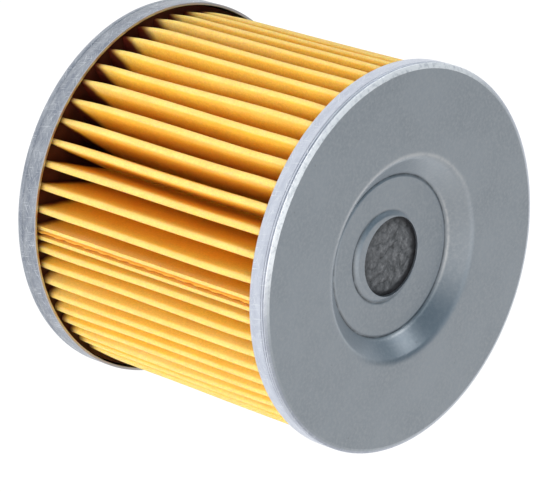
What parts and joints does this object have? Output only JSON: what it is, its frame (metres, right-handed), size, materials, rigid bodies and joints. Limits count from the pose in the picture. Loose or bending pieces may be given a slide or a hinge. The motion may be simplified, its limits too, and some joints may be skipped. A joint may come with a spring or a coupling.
{
  "type": "oil filter",
  "caption": "Cartridge oil filter: pleated paper ring between two pressed steel end caps, with a recessed closed end that holds a sprung bypass valve and an open end with a rubber outlet.",
  "frame": {"origin": "centre of the open end cap's seating face, the lowest face of the part", "axes": "+Z along the filter's axis, from the open outlet end to the closed end; X and Y lie in the seating face, and the paper's glued seam is 63 degrees from +X towards -Y"},
  "size_m": [0.066, 0.066, 0.0584],
  "materials": {
    "cap_steel": "satin plated sheet with fine scuffs on the skirt",
    "tube_steel": "satin perforated sheet",
    "filter_paper": "matte resin-cured paper, pale on the folds",
    "end_glue": "cured dark brown resin",
    "grommet_rubber": "satin black rubber",
    "seal_rubber": "dull crinkled dark grey rubber",
    "valve_steel": "bright stamped sheet",
    "spring_steel": "drawn spring wire"
  },
  "bodies": {
    "element": {"open_end_cap": "cap_steel", "closed_end_cap": "cap_steel", "centre_tube": "tube_steel", "pleated_paper": "filter_paper", "paper_seam_glue": "end_glue", "open_end_glue": "end_glue", "closed_end_glue": "end_glue", "outlet_grommet": "grommet_rubber", "valve_cage": "valve_steel", "valve_spring": "spring_steel"},
    "bypass_valve": {"valve_plate": "valve_steel", "valve_seal": "seal_rubber"}
  },
  "joints": [
    {"name": "bypass_valve_opening", "type": "slide", "parent": "element", "child": "bypass_valve", "axis": [0, 0, -1], "range_m": [0, 0.0025], "stiffness_N_per_m": 400, "springref_m": -0.0005, "deforming": ["valve_spring"]}
  ]
}
